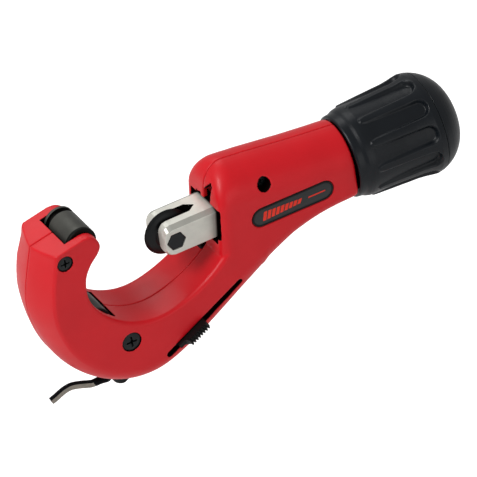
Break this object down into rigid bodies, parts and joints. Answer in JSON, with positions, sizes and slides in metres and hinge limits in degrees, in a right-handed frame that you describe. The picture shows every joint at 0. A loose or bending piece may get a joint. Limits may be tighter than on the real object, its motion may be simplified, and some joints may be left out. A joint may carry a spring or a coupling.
{
  "type": "pipe cutter",
  "caption": "Hook-shaped hand tube cutter: screw-fed cutting wheel on a sliding carriage, guide rollers, ribbed turning knob and a slide-out deburring blade.",
  "frame": {"origin": "middle of the bounding box of the tool at rest", "axes": "+X along the feed screw from the hook towards the knob, +Z out of the open side of the hook, +Y from the badge side to the far side"},
  "size_m": [0.1724, 0.0376, 0.0747],
  "materials": {
    "body_paint": "satin paint on a die casting",
    "knob_plastic": "moulded, satin",
    "dark_steel": "blackened steel",
    "bright_steel": "ground",
    "plated_zinc": "satin nickel plate",
    "badge_black": "printed"
  },
  "bodies": {
    "body": {"near_body_shell": "body_paint", "far_body_shell": "body_paint", "hook_screw": "dark_steel", "throat_screw": "dark_steel", "handle_screw": "dark_steel", "tip_roller_pin": "bright_steel", "throat_roller_pin": "bright_steel", "inner_pin_upper": "bright_steel", "inner_pin_lower": "bright_steel", "badge": "badge_black", "front_thrust_washer": "bright_steel", "rear_thrust_washer": "bright_steel"},
    "tip_roller": {"tip_roller": "dark_steel"},
    "inner_roller_upper": {"inner_roller_upper": "dark_steel"},
    "inner_roller_lower": {"inner_roller_lower": "dark_steel"},
    "throat_roller": {"throat_roller": "dark_steel"},
    "slide": {"carriage": "plated_zinc", "wheel_pin": "dark_steel", "wheel_clip": "bright_steel"},
    "wheel": {"cutter_wheel": "dark_steel"},
    "knob": {"feed_screw": "bright_steel", "knob_body": "knob_plastic", "knob_screw": "bright_steel"},
    "cap": {"knob_cap": "knob_plastic", "spare_wheel": "dark_steel"},
    "deburrer": {"deburrer_holder": "knob_plastic", "thumb_slide": "knob_plastic", "blade_retaining_pin": "bright_steel"},
    "blade": {"deburring_blade": "bright_steel"}
  },
  "joints": [
    {"name": "knob_turn", "type": "hinge", "parent": "body", "child": "knob", "pos_m": [0.05141, 0, 0.01465], "axis": [-1, 0, 0], "range_deg": [-1080, 7020]},
    {"name": "carriage_slide", "type": "slide", "parent": "body", "child": "slide", "axis": [-1, 0, 0], "range_m": [-0.0045, 0.02925]},
    {"name": "wheel_spin", "type": "hinge", "parent": "slide", "child": "wheel", "pos_m": [-0.02859, 0, 0.01465], "axis": [0, 1, 0], "continuous": true},
    {"name": "tip_roller_spin", "type": "hinge", "parent": "body", "child": "tip_roller", "pos_m": [-0.06529, 0, 0.03145], "axis": [0, 1, 0], "continuous": true},
    {"name": "inner_roller_upper_spin", "type": "hinge", "parent": "body", "child": "inner_roller_upper", "pos_m": [-0.07329, 0, 0.02115], "axis": [0, 1, 0], "continuous": true},
    {"name": "inner_roller_lower_spin", "type": "hinge", "parent": "body", "child": "inner_roller_lower", "pos_m": [-0.07329, 0, 0.00815], "axis": [0, 1, 0], "continuous": true},
    {"name": "throat_roller_spin", "type": "hinge", "parent": "body", "child": "throat_roller", "pos_m": [-0.06439, 0, -0.00435], "axis": [0, 1, 0], "continuous": true},
    {"name": "cap_pull", "type": "slide", "parent": "knob", "child": "cap", "axis": [1, 0, 0], "range_m": [0, 0.012]},
    {"name": "deburrer_slide", "type": "slide", "parent": "body", "child": "deburrer", "axis": [0.871, 0, 0.4913], "range_m": [0, 0.018]},
    {"name": "blade_swivel", "type": "hinge", "parent": "deburrer", "child": "blade", "pos_m": [-0.05709, 0, -0.03375], "axis": [0.871, 0, 0.4913], "range_deg": [-180, 0]}
  ],
  "couplings": [
    {"joint": "carriage_slide", "follows": "knob_turn", "m_per_rad": 0.00023873}
  ]
}
